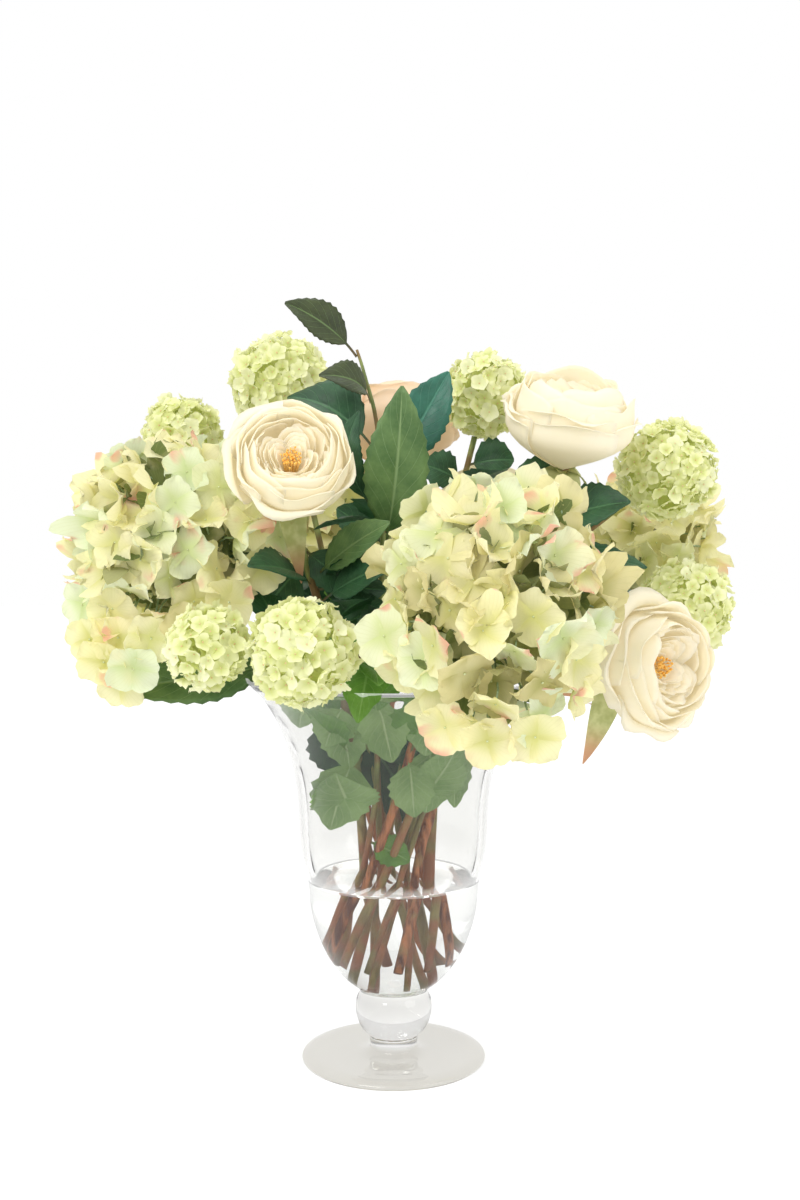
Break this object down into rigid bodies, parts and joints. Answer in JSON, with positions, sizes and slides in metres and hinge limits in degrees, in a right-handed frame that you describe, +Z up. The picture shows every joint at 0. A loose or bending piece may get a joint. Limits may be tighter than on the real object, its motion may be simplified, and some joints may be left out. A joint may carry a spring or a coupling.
{
  "type": "floral table centerpiece",
  "caption": "Bouquet of garden roses, mophead hydrangeas, snowball viburnum and leaves standing in water in a footed clear-glass vase.",
  "frame": {"origin": "middle of the flat underside of the vase's foot, on the surface the centerpiece stands on", "axes": "+Z up along the vase's axis, -Y towards the front of the bouquet, +X to the right seen from the front"},
  "size_m": [0.4924, 0.4224, 0.563],
  "materials": {
    "clear_glass": "gloss",
    "clear_water": "gloss",
    "rose_ivory": "matte",
    "rose_cream": "matte",
    "rose_stamens": "matte",
    "hydrangea_petals": "matte",
    "snowball_petals": "matte",
    "bark": "matte",
    "green_stem": "matte",
    "leaf_olive": "satin",
    "leaf_bright": "satin",
    "leaf_blue_green": "satin",
    "leaf_green": "satin",
    "leaf_dark": "satin"
  },
  "bodies": {
    "root": {"hydrangea_1_head": "hydrangea_petals", "hydrangea_1_stem": "bark", "hydrangea_2_head": "hydrangea_petals", "hydrangea_2_stem": "bark", "hydrangea_3_head": "hydrangea_petals", "hydrangea_3_stem": "bark", "hydrangea_4_head": "hydrangea_petals", "hydrangea_4_stem": "bark", "leaf_at_rim": "leaf_bright", "leaf_blue": "leaf_blue_green", "leaf_branch": "bark", "leaf_broad_left": "leaf_dark", "leaf_centre": "leaf_green", "leaf_curled": "leaf_olive", "leaf_front_dark": "leaf_dark", "leaf_front_olive": "leaf_green", "leaf_in_neck": "leaf_bright", "leaf_in_vase": "leaf_bright", "leaf_inner_left": "leaf_dark", "leaf_low_left": "leaf_green", "leaf_narrow": "leaf_dark", "leaf_pointed": "leaf_dark", "leaf_right": "leaf_dark", "leaf_top": "leaf_olive", "rose_1_inner_petals": "rose_cream", "rose_1_outer_petals": "rose_ivory", "rose_1_stamens": "rose_stamens", "rose_1_stem": "green_stem", "rose_2_inner_petals": "rose_cream", "rose_2_outer_petals": "rose_ivory", "rose_2_stamens": "rose_stamens", "rose_2_stem": "green_stem", "rose_3_inner_petals": "rose_cream", "rose_3_outer_petals": "rose_ivory", "rose_3_stamens": "rose_stamens", "rose_3_stem": "green_stem", "rose_4_inner_petals": "rose_cream", "rose_4_outer_petals": "rose_ivory", "rose_4_stamens": "rose_stamens", "rose_4_stem": "green_stem", "rose_5_inner_petals": "rose_cream", "rose_5_outer_petals": "rose_ivory", "rose_5_stamens": "rose_stamens", "rose_5_stem": "green_stem", "snowball_1_head": "snowball_petals", "snowball_1_stem": "green_stem", "snowball_2_head": "snowball_petals", "snowball_2_stem": "green_stem", "snowball_3_head": "snowball_petals", "snowball_3_stem": "green_stem", "snowball_4_head": "snowball_petals", "snowball_4_stem": "green_stem", "snowball_5_head": "snowball_petals", "snowball_5_stem": "green_stem", "snowball_6_head": "snowball_petals", "snowball_6_stem": "green_stem", "snowball_7_head": "snowball_petals", "snowball_7_stem": "green_stem", "vase": "clear_glass", "water": "clear_water"}
  },
  "joints": []
}
